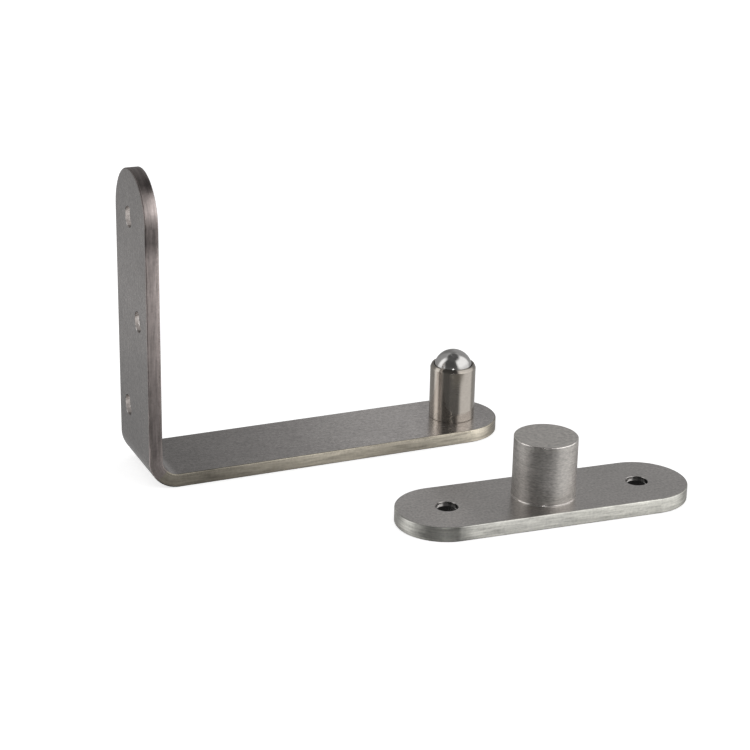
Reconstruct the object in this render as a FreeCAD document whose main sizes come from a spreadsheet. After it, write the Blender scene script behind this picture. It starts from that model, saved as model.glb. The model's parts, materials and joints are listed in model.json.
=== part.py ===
"""Pivot hinge for a heavy door: a bent bracket whose pin carries a caged ball, and a socket plate with a blind cup.

Millimetres, +Z up. The origin is on the pin's axis, at the underside of the bracket's arm. The arm runs along X:
the standing leg is at -X and the arm's rounded free end at +X. The socket half lies in front of the arm, at -Y.
"""
import FreeCAD, Part
import math
import os

import Sketcher

X_AXIS = FreeCAD.Vector(1, 0, 0)
Z_AXIS = FreeCAD.Vector(0, 0, 1)
TOLERANCE = 1e-6

# Driving dimensions: alias, value, meaning
SIZES = [
    ("bar_width", 25.0, "width of the bracket's flat bar"),
    ("bar_thickness", 3.6, "thickness of the bracket's flat bar"),
    ("leg_height", 83.0, "height of the standing leg over the arm's underside"),
    ("arm_length", 105.0, "length of the arm from the leg's outer face to its free end"),
    ("bend_radius", 4.4, "inner radius of the bend"),
    ("edge_break", 0.3, "bevel along the edges of both bars"),
    ("leg_screw_diameter", 5.5, "clear diameter of the bracket's screw holes"),
    ("screw_land", 1.2, "straight wall left in a screw hole under its countersink"),
    ("low_screw_height", 17.75, "height of the lowest screw hole"),
    ("top_screw_inset", 12.75, "distance of the top screw hole from the leg's end"),
    ("low_screw_offset", 5.1, "lowest screw hole, from the centre line to the back"),
    ("middle_screw_offset", 4.9, "middle screw hole, from the centre line to the front"),
    ("top_screw_offset", 1.2, "top screw hole, from the centre line to the back"),
    ("pin_height", 15.5, "height of the pin's lip over the arm"),
    ("pin_wall", 0.9, "wall of the pin round the ball"),
    ("pin_shoulder", 1.85, "step from the pin down to its foot"),
    ("foot_flare", 0.8, "flare of the riveted foot at the arm's underside"),
    ("ball_diameter", 10.8, "diameter of the ball"),
    ("ball_rise", 4.0, "height of the ball over the pin's lip"),
    ("ball_clearance", 0.05, "running clearance round the ball"),
    ("lip_roll", 0.9, "height over which the lip is rolled in"),
    ("lip_edge", 0.5, "width of the flat edge left on the lip"),
    ("drill_angle", 118.0, "point angle of the drilled bores, in degrees"),
    ("drill_web", 0.8, "diameter of the flat that the drill leaves at its point"),
    ("plate_length", 80.0, "length of the socket plate"),
    ("plate_width", 25.0, "width of the socket plate"),
    ("plate_thickness", 4.0, "thickness of the socket plate"),
    ("plate_screw_diameter", 5.8, "clear diameter of the plate's screw holes"),
    ("plate_screw_inset", 13.3, "distance of each screw hole from the plate's end"),
    ("cup_clearance", 0.15, "clearance between the pin and the cup's bore"),
    ("cup_wall", 1.75, "wall of the cup"),
    ("cup_shoulder", 0.75, "step from the cup down to its foot in the plate"),
    ("cup_height", 16.0, "height of the cup over the plate"),
    ("cup_top", 2.1, "thickness of the cup's closed end at the centre"),
    ("cup_edge", 0.3, "chamfer on the cup's top and bottom edges"),
    ("swing_gap", 5.8, "gap between the arm and the circle that the plate's ends swing in"),
    ("socket_shift", 1.85, "distance of the socket from the pin's axis towards the leg"),
    ("socket_turn", 3.5, "turn of the socket plate as it lies, in degrees, clockwise from above"),
]


class Length:
    """A length as a number, and as the expression that keeps it tied to the sheet."""

    def __init__(self, value, expression):
        self.value = value
        self.expression = expression

    def combine(self, other, sign, value):
        return Length(value, f"({self.expression} {sign} {as_length(other).expression})")

    def __add__(self, other):
        return self.combine(other, "+", self.value + as_length(other).value)

    def __sub__(self, other):
        return self.combine(other, "-", self.value - as_length(other).value)

    def __mul__(self, other):
        return self.combine(other, "*", self.value * as_length(other).value)

    def __truediv__(self, other):
        return self.combine(other, "/", self.value / as_length(other).value)

    def __neg__(self):
        return Length(-self.value, f"(-{self.expression})")


def as_length(value):
    """The value itself if it is a Length, or else a plain number as one."""
    if isinstance(value, Length):
        return value
    return Length(float(value), str(float(value)))


def root(length):
    return Length(math.sqrt(length.value), f"sqrt({length.expression})")


def sine(angle):
    return Length(math.sin(math.radians(angle.value)), f"sin({angle.expression})")


def tangent(angle):
    return Length(math.tan(math.radians(angle.value)), f"tan({angle.expression})")


def make_sheet(doc):
    """The sheet of driving dimensions, and each of them as a Length."""
    sheet = doc.addObject("Spreadsheet::Sheet", "Sizes")
    lengths = {}
    for row, (alias, value, meaning) in enumerate(SIZES, start=1):
        sheet.set(f"A{row}", meaning)
        sheet.set(f"B{row}", str(value))
        sheet.setAlias(f"B{row}", alias)
        lengths[alias] = Length(value, f"Sizes.{alias}")
    doc.recompute()
    return lengths


class Profile:
    """A sketch in one of a body's own planes, every size of it tied to the sheet."""

    def __init__(self, body, name, role, height=None):
        plane = next(item for item in body.Origin.OriginFeatures if item.Role == role)
        self.sketch = body.newObject("Sketcher::SketchObject", name)
        self.sketch.AttachmentSupport = [(plane, "")]
        self.sketch.MapMode = "FlatFace"
        if height is not None:
            self.sketch.AttachmentOffset = FreeCAD.Placement(FreeCAD.Vector(0, 0, height.value), FreeCAD.Rotation())
            self.sketch.setExpression("AttachmentOffset.Base.z", height.expression)

    def bind(self, kind, references, length):
        index = self.sketch.addConstraint(Sketcher.Constraint(kind, *references, length.value))
        self.sketch.setExpression(f"Constraints[{index}]", length.expression)

    def place_along(self, kind, geometry, vertex, length):
        """Ties a vertex to its distance from the sketch's origin one way, or puts it on the axis."""
        if isinstance(length, Length):
            self.bind(kind, (-1, 1, geometry, vertex), length)
        else:
            axis = -2 if kind == "DistanceX" else -1
            self.sketch.addConstraint(Sketcher.Constraint("PointOnObject", geometry, vertex, axis))

    def place(self, geometry, vertex, point):
        self.place_along("DistanceX", geometry, vertex, point[0])
        self.place_along("DistanceY", geometry, vertex, point[1])

    def place_centre(self, arc, centre, steep):
        """Ties the centre of an arc whose ends are placed. steep is true where its ends lie one over the other."""
        if steep:
            self.place_along("DistanceX", arc, 3, centre[0])
        else:
            self.place_along("DistanceY", arc, 3, centre[1])

    def outline(self, points, arcs=None):
        """A closed outline through the points. arcs maps a side's number to its centre, radius and turning sense."""
        arcs = arcs or {}
        corners = [vector(point) for point in points]
        ends = []
        for side, first in enumerate(corners):
            last = corners[(side + 1) % len(corners)]
            if side in arcs:
                ends.append(self.add_arc(first, last, *arcs[side]))
            else:
                index = self.sketch.addGeometry(Part.LineSegment(first, last), False)
                ends.append((index, 1, 2))
        for side, (index, start, end) in enumerate(ends):
            following = ends[(side + 1) % len(ends)]
            self.sketch.addConstraint(Sketcher.Constraint("Coincident", index, end, following[0], following[1]))
            self.place(index, start, points[side])
        for side, (centre, _, _) in arcs.items():
            chord = corners[(side + 1) % len(corners)] - corners[side]
            self.place_centre(ends[side][0], centre, abs(chord.y) > abs(chord.x))

    def add_arc(self, first, last, centre, radius, clockwise):
        """An arc from first to last: its number, and which of its vertices come first and last."""
        middle = vector(centre)
        circle = Part.Circle(middle, Z_AXIS, radius.value)
        begin, finish = (last, first) if clockwise else (first, last)
        begin_angle = math.atan2(begin.y - middle.y, begin.x - middle.x)
        finish_angle = math.atan2(finish.y - middle.y, finish.x - middle.x)
        index = self.sketch.addGeometry(Part.ArcOfCircle(circle, begin_angle, finish_angle), False)
        return (index, 2, 1) if clockwise else (index, 1, 2)

    def circle(self, centre, radius):
        index = self.sketch.addGeometry(Part.Circle(vector(centre), Z_AXIS, radius.value), False)
        self.place(index, 3, centre)
        self.bind("Radius", (index,), radius)


def vector(point):
    return FreeCAD.Vector(as_length(point[0]).value, as_length(point[1]).value, 0)


def new_body(doc, label):
    body = doc.addObject("PartDesign::Body", label)
    body.Label = label
    return body


def move(part, **distances):
    """Ties the position of a part to the sheet."""
    for axis, length in distances.items():
        part.setExpression(f"Placement.Base.{axis}", length.expression)


def turn(part, angle):
    """Turns a part about its upright axis by an angle from the sheet."""
    part.Placement = FreeCAD.Placement(FreeCAD.Vector(), FreeCAD.Rotation(Z_AXIS, angle.value))
    part.setExpression("Placement.Rotation.Angle", angle.expression)


def add_feature(body, kind, name, profile, **sizes):
    """A feature made from a profile, its sizes tied to the sheet."""
    feature = body.newObject(kind, name)
    feature.Profile = profile.sketch
    profile.sketch.Visibility = False
    for prop, length in sizes.items():
        setattr(feature, prop, length.value)
        feature.setExpression(prop, length.expression)
    return feature


def finish_cut(doc, body, feature, before):
    """Makes the cut the body's tip, and stops if it took nothing away."""
    body.Tip = feature
    doc.recompute()
    if body.Shape.Volume > before - TOLERANCE:
        raise RuntimeError(f"{feature.Name} cuts nothing")


def cut_through(doc, body, name, profile, reverse=False):
    """A pocket through all of the body on one side of the profile's plane."""
    before = body.Shape.Volume
    pocket = add_feature(body, "PartDesign::Pocket", name, profile)
    pocket.Type = "ThroughAll"
    pocket.Reversed = reverse
    finish_cut(doc, body, pocket, before)


def drill_countersunk(doc, body, name, profile, diameter, sink, reverse=False):
    """Through holes with a 90 degree countersink at the profile's plane. sink is the widest diameter."""
    before = body.Shape.Volume
    hole = body.newObject("PartDesign::Hole", name)
    hole.Profile = profile.sketch
    profile.sketch.Visibility = False
    doc.recompute()
    hole.ThreadType = "None"
    hole.DepthType = "ThroughAll"
    hole.Reversed = reverse
    hole.Diameter = diameter.value
    hole.setExpression("Diameter", diameter.expression)
    hole.HoleCutType = "Countersink"
    hole.HoleCutCustomValues = True
    hole.HoleCutCountersinkAngle = 90.0
    hole.HoleCutDiameter = sink.value
    hole.setExpression("HoleCutDiameter", sink.expression)
    finish_cut(doc, body, hole, before)


def revolve(doc, body, name, profile):
    """Turns the profile once round the body's upright axis."""
    turned = add_feature(body, "PartDesign::Revolution", name, profile)
    turned.ReferenceAxis = (profile.sketch, ["V_Axis"])
    turned.Angle = 360.0
    body.Tip = turned
    doc.recompute()


def break_edges(doc, body, name, width, wanted):
    """Bevels the edges of the body that the test picks."""
    base = body.Tip
    names = [f"Edge{number}" for number, edge in enumerate(base.Shape.Edges, start=1) if wanted(edge)]
    bevel = body.newObject("PartDesign::Chamfer", name)
    bevel.Base = (base, names)
    bevel.Size = width.value
    bevel.setExpression("Size", width.expression)
    finish_cut(doc, body, bevel, base.Shape.Volume)


def middle_of(edge):
    return edge.valueAt((edge.FirstParameter + edge.LastParameter) / 2)


def runs_along(edge, axis):
    """True for a straight edge along the axis."""
    if edge.Curve.TypeId != "Part::GeomLine":
        return False
    return abs(abs(edge.Curve.Direction.dot(axis)) - 1) < TOLERANCE


def countersink_width(size, hole, thickness):
    """Diameter of a 90 degree countersink that leaves the land at the far face."""
    return hole + (thickness - size["screw_land"]) * 2


def bend_centre(size):
    """Distance of the bend's centre from the bracket's outer faces."""
    return size["bend_radius"] + size["bar_thickness"]


def make_bracket(doc, size):
    """The flat bar bent to an L, its ends rounded, with the screw holes and the hole for the pin's foot."""
    body = new_body(doc, "bracket")
    thickness, width = size["bar_thickness"], size["bar_width"]
    leg, arm = size["leg_height"], size["arm_length"]
    outer, half = bend_centre(size), width / 2
    centre = (outer, outer)
    bend = Profile(body, "BentSection", "XZ_Plane")
    bend.outline(
        [(outer, 0), (arm, 0), (arm, thickness), (outer, thickness),
         (thickness, outer), (thickness, leg), (0, leg), (0, outer)],
        {3: (centre, size["bend_radius"], True), 7: (centre, outer, False)},
    )
    blank = add_feature(body, "PartDesign::Pad", "BentBar", bend, Length=width)
    blank.Midplane = True
    body.Tip = blank
    doc.recompute()

    leg_end = Profile(body, "LegEndWaste", "YZ_Plane")
    round_end(leg_end, leg, half, upright=True)
    cut_through(doc, body, "LegEnd", leg_end, reverse=True)
    arm_end = Profile(body, "ArmEndWaste", "XY_Plane")
    round_end(arm_end, arm, half, upright=False)
    cut_through(doc, body, "ArmEnd", arm_end, reverse=True)

    def is_rim(edge):
        point = middle_of(edge)
        if runs_along(edge, X_AXIS):
            return point.x > outer.value
        if runs_along(edge, Z_AXIS):
            return point.z > outer.value
        return edge.Curve.TypeId == "Part::GeomCircle"

    break_edges(doc, body, "BarEdges", size["edge_break"], is_rim)

    top = leg - size["top_screw_inset"]
    low = size["low_screw_height"]
    screw = size["leg_screw_diameter"]
    screws = Profile(body, "LegScrews", "YZ_Plane", height=thickness)
    screws.circle((size["top_screw_offset"], top), screw / 2)
    screws.circle((-size["middle_screw_offset"], (top + low) / 2), screw / 2)
    screws.circle((size["low_screw_offset"], low), screw / 2)
    drill_countersunk(doc, body, "LegScrewHoles", screws, screw, countersink_width(size, screw, thickness))

    foot = Profile(body, "FootSeat", "XY_Plane")
    foot.circle((pin_reach(size), 0), foot_radius(size))
    drill_countersunk(
        doc, body, "FootHole", foot, foot_radius(size) * 2,
        (foot_radius(size) + size["foot_flare"]) * 2, reverse=True,
    )
    move(body, x=-pin_reach(size))
    return body


def round_end(profile, length, half, upright):
    """The waste round a full round end: everything past the end's half circle."""
    shoulder = length - half
    far, wide = length + half, half * 2
    along = [shoulder, shoulder, shoulder, far, far, shoulder]
    across = [half, -half, -wide, -wide, wide, wide]
    if upright:
        points = list(zip(across, along))
        profile.outline(points, {0: ((0, shoulder), half, False)})
    else:
        points = list(zip(along, across))
        profile.outline(points, {0: ((shoulder, 0), half, True)})


def pin_reach(size):
    """Distance of the pin from the leg's outer face: the pin shares its centre with the arm's round end."""
    return size["arm_length"] - size["bar_width"] / 2


def seat_radius(size):
    return size["ball_diameter"] / 2 + size["ball_clearance"]


def pin_radius(size):
    return seat_radius(size) + size["pin_wall"]


def foot_radius(size):
    return pin_radius(size) - size["pin_shoulder"]


def ball_height(size):
    """Height of the ball's centre over the arm's underside."""
    lip = size["bar_thickness"] + size["pin_height"]
    return lip + size["ball_rise"] - size["ball_diameter"] / 2


def make_pivot_pin(doc, size):
    """The turned pin: riveted foot, bored seat with a drilled point, and a lip rolled in over the ball."""
    body = new_body(doc, "pivot_pin")
    foot, pin, seat = foot_radius(size), pin_radius(size), seat_radius(size)
    arm_top = size["bar_thickness"]
    lip = arm_top + size["pin_height"]
    centre = ball_height(size)
    half_angle = size["drill_angle"] / 2
    web = size["drill_web"] / 2
    apex = centre - seat / sine(half_angle)
    point = apex + web / tangent(half_angle)
    cone_start = apex + seat / tangent(half_angle)
    lip_over_centre = lip - centre
    mouth = root(seat * seat - lip_over_centre * lip_over_centre)
    section = Profile(body, "PinSection", "XZ_Plane")
    section.outline(
        [(0, 0), (foot + size["foot_flare"], 0), (foot, size["foot_flare"]), (foot, arm_top), (pin, arm_top),
         (pin, lip - size["lip_roll"]), (mouth + size["lip_edge"], lip), (mouth, lip),
         (seat, centre), (seat, cone_start), (web, point), (0, point)],
        {7: ((0, centre), seat, True)},
    )
    revolve(doc, body, "TurnedPin", section)
    return body


def make_ball(doc, size):
    """The ball, held in the pin by the rolled lip."""
    ball = doc.addObject("Part::Sphere", "ball")
    ball.Label = "ball"
    ball.setExpression("Radius", (size["ball_diameter"] / 2).expression)
    move(ball, z=ball_height(size))
    return ball


def socket_place(size):
    """Where the socket's axis stands, clear of the arm all the way round."""
    swing = size["plate_length"] / 2 + size["swing_gap"]
    return -size["socket_shift"], -(size["bar_width"] / 2 + swing)


def cup_bore_radius(size):
    return pin_radius(size) + size["cup_clearance"]


def cup_radius(size):
    return cup_bore_radius(size) + size["cup_wall"]


def cup_foot_radius(size):
    return cup_radius(size) - size["cup_shoulder"]


def place_socket_piece(body, size):
    turn(body, -size["socket_turn"])
    x, y = socket_place(size)
    move(body, x=x, y=y)


def make_socket_plate(doc, size):
    """The flat bar with full round ends, two countersunk screw holes and the hole for the cup's foot."""
    body = new_body(doc, "socket_plate")
    thickness, half = size["plate_thickness"], size["plate_width"] / 2
    reach = size["plate_length"] / 2 - half
    outline = Profile(body, "PlateOutline", "XY_Plane")
    outline.outline(
        [(reach, -half), (reach, half), (-reach, half), (-reach, -half)],
        {0: ((reach, 0), half, False), 2: ((-reach, 0), half, False)},
    )
    blank = add_feature(body, "PartDesign::Pad", "PlateBlank", outline, Length=thickness)
    body.Tip = blank
    doc.recompute()
    break_edges(doc, body, "PlateEdges", size["edge_break"], lambda edge: not runs_along(edge, Z_AXIS))

    screw = size["plate_screw_diameter"]
    screw_place = size["plate_length"] / 2 - size["plate_screw_inset"]
    screws = Profile(body, "PlateScrews", "XY_Plane")
    screws.circle((screw_place, 0), screw / 2)
    screws.circle((-screw_place, 0), screw / 2)
    drill_countersunk(
        doc, body, "PlateScrewHoles", screws, screw, countersink_width(size, screw, thickness), reverse=True,
    )
    mouth = Profile(body, "CupSeat", "XY_Plane")
    mouth.circle((0, 0), cup_foot_radius(size))
    cut_through(doc, body, "CupHole", mouth, reverse=True)
    place_socket_piece(body, size)
    return body


def make_socket_cup(doc, size):
    """The turned blind cup: open below for the pin, a drilled point above for the ball to bear on."""
    body = new_body(doc, "socket_cup")
    bore, foot, cup = cup_bore_radius(size), cup_foot_radius(size), cup_radius(size)
    plate, edge = size["plate_thickness"], size["cup_edge"]
    half_angle = size["drill_angle"] / 2
    web = size["drill_web"] / 2
    top = plate + size["cup_height"]
    point = top - size["cup_top"]
    cone_start = point - (bore - web) / tangent(half_angle)
    section = Profile(body, "CupSection", "XZ_Plane")
    section.outline(
        [(bore, 0), (foot, 0), (foot, plate), (cup - edge, plate), (cup, plate + edge), (cup, top - edge),
         (cup - edge, top), (0, top), (0, point), (web, point), (bore, cone_start)],
    )
    revolve(doc, body, "TurnedCup", section)
    place_socket_piece(body, size)
    return body


def check(doc, parts):
    """Stops unless every object is sound and every part is one valid solid."""
    for item in doc.Objects:
        if "Invalid" in item.State or "Error" in item.State:
            raise RuntimeError(f"{item.Name} failed: {item.State}")
    for part in parts:
        shape = part.Shape
        if shape.isNull() or not shape.isValid() or len(shape.Solids) != 1:
            raise RuntimeError(f"{part.Label} is not one valid solid")


def main():
    doc = FreeCAD.newDocument("PivotHinge")
    size = make_sheet(doc)
    parts = [
        make_bracket(doc, size),
        make_pivot_pin(doc, size),
        make_ball(doc, size),
        make_socket_plate(doc, size),
        make_socket_cup(doc, size),
    ]
    doc.recompute()
    check(doc, parts)
    os.makedirs("parts", exist_ok=True)
    for part in parts:
        part.Shape.exportStep(f"parts/{part.Label}.step")
        box = part.Shape.BoundBox
        print(f"{part.Label}: {part.Shape.Volume:.2f} mm3, {box.XLength:.2f} x {box.YLength:.2f} x {box.ZLength:.2f}")


main()
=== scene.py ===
"""Looks of the pivot hinge: satin bars, a polished pin with its caged ball, and a turned socket cup.

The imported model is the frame. Each sub-assembly is a class that builds and dresses its own pieces, and
each finish is a small class that makes one material. The studio holds the floor, the lamps and the tent
that the reflections show. Lengths are metres, as in the frame, and MM turns millimetres into metres.
"""

import json
import logging
import math
from dataclasses import dataclass
from enum import IntEnum

import bmesh
import bpy
from bmesh.types import BMEdge, BMesh, BMLayerItem
from bpy.types import ID, Material, Node, NodeSocket, NodeTree, Object
from mathutils import Matrix, Vector

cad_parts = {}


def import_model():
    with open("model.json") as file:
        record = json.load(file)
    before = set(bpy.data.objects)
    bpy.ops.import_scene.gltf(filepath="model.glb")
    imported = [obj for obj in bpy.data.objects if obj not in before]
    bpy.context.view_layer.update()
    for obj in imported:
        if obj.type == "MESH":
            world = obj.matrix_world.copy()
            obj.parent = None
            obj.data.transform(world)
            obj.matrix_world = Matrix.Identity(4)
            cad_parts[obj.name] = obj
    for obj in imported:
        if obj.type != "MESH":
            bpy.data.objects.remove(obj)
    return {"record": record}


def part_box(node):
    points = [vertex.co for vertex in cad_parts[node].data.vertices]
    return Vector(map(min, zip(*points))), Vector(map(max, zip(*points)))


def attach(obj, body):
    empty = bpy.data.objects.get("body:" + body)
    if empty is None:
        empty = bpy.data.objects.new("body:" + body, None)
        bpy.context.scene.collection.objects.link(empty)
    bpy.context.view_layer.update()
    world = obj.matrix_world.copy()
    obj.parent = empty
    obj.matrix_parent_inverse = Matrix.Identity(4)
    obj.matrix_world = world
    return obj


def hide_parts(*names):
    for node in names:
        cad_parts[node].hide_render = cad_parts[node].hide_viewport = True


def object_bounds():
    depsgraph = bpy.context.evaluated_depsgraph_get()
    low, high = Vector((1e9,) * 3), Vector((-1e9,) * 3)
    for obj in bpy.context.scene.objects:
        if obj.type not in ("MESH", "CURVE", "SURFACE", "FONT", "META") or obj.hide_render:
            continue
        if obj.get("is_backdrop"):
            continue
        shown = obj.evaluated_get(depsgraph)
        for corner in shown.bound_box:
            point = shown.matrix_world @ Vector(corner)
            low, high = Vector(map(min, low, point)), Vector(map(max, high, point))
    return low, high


MM = 0.001
DRILL_ANGLE = math.radians(59)
IMAGE_WIDTH = 750
SENSOR_WIDTH = 36.0
GRAIN_MAP = "grain"
TONE = "tone"
DULLING = "dulling"
WALL_MARK = "wall"
MERGE_DISTANCE = 1e-6
CUT_DISTANCE = 1e-7
SHARP_ANGLE = math.radians(32)
FLATNESS = 100
NOISE_ROUGHNESS = 0.6
TURNED_SEGMENTS = 160
WHITE = (1.0, 1.0, 1.0, 1.0)

Pair = tuple[float, float]
Point = tuple[float, float]
Triple = tuple[float, float, float]

log = logging.getLogger("pivot_hinge")


class Wall(IntEnum):
    """What a face of a flat bar belongs to."""

    FACE = 0
    EDGE = 1
    HOLE = 2


class Nodes:
    """Short calls that add nodes to one node tree and link them."""

    def __init__(self, tree: NodeTree) -> None:
        """Takes over a tree and empties it."""
        self.tree = tree
        tree.nodes.clear()

    def add(
        self, kind: str, *values: object, settings: dict[str, object] | None = None, **inputs: object
    ) -> Node:
        """Adds a node.

        Args:
            kind: the node's type name.
            values: what goes into its first sockets, in order.
            settings: the node's own properties.
            inputs: what goes into other sockets, by name with _ for a space.

        Returns:
            The node.
        """
        node = self.tree.nodes.new(kind)
        for name, value in (settings or {}).items():
            setattr(node, name, value)
        for socket, value in zip(node.inputs, values):
            self.put(socket, value)
        for name, value in inputs.items():
            self.put(node.inputs[name.replace("_", " ")], value)
        return node

    def put(self, socket: NodeSocket, value: object) -> None:
        """Fills a socket.

        Args:
            socket: the socket.
            value: an output socket to link, a node for its first one, or else the socket's own value.
        """
        if isinstance(value, Node):
            value = value.outputs[0]
        if isinstance(value, NodeSocket):
            self.tree.links.new(value, socket)
        else:
            socket.default_value = value

    def math(self, operation: str, *values: object) -> NodeSocket:
        """The result of an operation on numbers and sockets."""
        return self.add("ShaderNodeMath", *values, settings={"operation": operation}).outputs[0]

    def vector_math(self, operation: str, *values: object) -> NodeSocket:
        """The result of an operation on vectors and sockets."""
        return self.add("ShaderNodeVectorMath", *values, settings={"operation": operation}).outputs[0]

    def noise(self, vector: NodeSocket, scale: Triple, detail: float = 2.0) -> NodeSocket:
        """Adds a noise pattern.

        Args:
            vector: the coordinates, in metres.
            scale: features for each metre, along each coordinate.
            detail: how many finer octaves it has.

        Returns:
            The pattern, from 0 to 1 about a middle of one half.
        """
        placed = self.vector_math("MULTIPLY", vector, scale)
        settings = {"Scale": 1.0, "Detail": detail, "Roughness": NOISE_ROUGHNESS}
        return self.add("ShaderNodeTexNoise", Vector=placed, **settings).outputs["Fac"]

    def swing(self, level: float, *patterns: tuple[NodeSocket, float]) -> NodeSocket:
        """Lets patterns move a level up and down.

        Args:
            level: the middle level.
            patterns: each pattern, and how far it moves the level each way.

        Returns:
            The moved level.
        """
        for pattern, amount in patterns:
            level = self.math("MULTIPLY_ADD", self.math("SUBTRACT", pattern, 0.5), 2.0 * amount, level)
        return level


def new_material(name: str) -> tuple[Material, Nodes]:
    """Makes an empty material.

    Args:
        name: its name.

    Returns:
        The material and its nodes.
    """
    material = bpy.data.materials.new(name)
    material.use_nodes = True
    return material, Nodes(material.node_tree)


@dataclass(frozen=True)
class Steel:
    """What every bare steel finish has: a colour, a gloss, and the depth of its marks."""

    name: str
    colour: Triple
    roughness: float
    mark_depth: float

    def material(self) -> Material:
        """Makes the material.

        Returns:
            The material.
        """
        material, nodes = new_material(self.name)
        tone, roughness, height = self.pattern(nodes)
        colour = nodes.vector_math("MULTIPLY", self.colour, tone)
        bump = nodes.add("ShaderNodeBump", Strength=1.0, Distance=self.mark_depth, Height=height)
        shader = nodes.add(
            "ShaderNodeBsdfPrincipled",
            Base_Color=colour,
            Metallic=1.0,
            Roughness=roughness,
            Normal=bump,
        )
        nodes.add("ShaderNodeOutputMaterial", Surface=shader)
        return material

    def pattern(self, nodes: Nodes) -> tuple[object, object, object]:
        """The finish's own pattern.

        Args:
            nodes: the material's tree.

        Returns:
            Sockets for the tone that scales the colour, the roughness and the height of the marks.
        """
        raise NotImplementedError


@dataclass(frozen=True)
class BrushedSteel(Steel):
    """Flat steel, brushed lengthwise by the mill and belt-ground along its cut edges."""

    streak: Triple = (150.0, 1900.0, 1.0)
    band: Triple = (70.0, 800.0, 1.0)
    grit: Triple = (1500.0, 1500.0, 1500.0)
    cloud: Triple = (70.0, 70.0, 70.0)
    streak_swing: float = 0.22
    grit_swing: float = 0.48
    cloud_swing: float = 0.16
    edge_swing: float = 0.4
    streak_dulling: float = 0.05
    cloud_dulling: float = 0.06
    streak_share: float = 0.5

    def pattern(self, nodes: Nodes) -> tuple[object, object, object]:
        """Streaks along the grain map, grit, clouds of handling, and the painted reflections and shade
        of the tone attribute.

        The cut edges have bands as well, and less grit.

        Args:
            nodes: the material's tree.

        Returns:
            Sockets for the tone, the roughness and the height of the marks.
        """
        along = nodes.add("ShaderNodeUVMap", settings={"uv_map": GRAIN_MAP}).outputs[0]
        place = nodes.add("ShaderNodeTexCoord").outputs["Object"]
        # The tone attribute holds painted reflections, highlights and shade on the bar's faces, edges
        # and holes.
        painted_reflection = nodes.add("ShaderNodeAttribute", settings={"attribute_name": TONE}).outputs
        streaks = nodes.noise(along, self.streak, 3.0)
        bands = nodes.noise(along, self.band)
        grit = nodes.noise(place, self.grit)
        clouds = nodes.noise(place, self.cloud, 4.0)
        ground = nodes.swing(
            0.0, (bands, self.edge_swing), (streaks, self.edge_swing), (grit, -self.grit_swing / 2)
        )
        rolled = nodes.swing(
            1.0, (streaks, self.streak_swing), (grit, self.grit_swing), (clouds, self.cloud_swing)
        )
        worn = nodes.math("MULTIPLY_ADD", ground, painted_reflection["Alpha"], rolled)
        scale = {"operation": "SCALE"}
        tone = nodes.add("ShaderNodeVectorMath", painted_reflection["Color"], settings=scale, Scale=worn)
        gloss = nodes.swing(self.roughness, (streaks, self.streak_dulling), (clouds, self.cloud_dulling))
        dulling = nodes.add("ShaderNodeAttribute", settings={"attribute_name": DULLING}).outputs["Fac"]
        height = nodes.math("MULTIPLY_ADD", streaks, self.streak_share, grit)
        return tone, nodes.math("ADD", gloss, dulling), height


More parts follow.
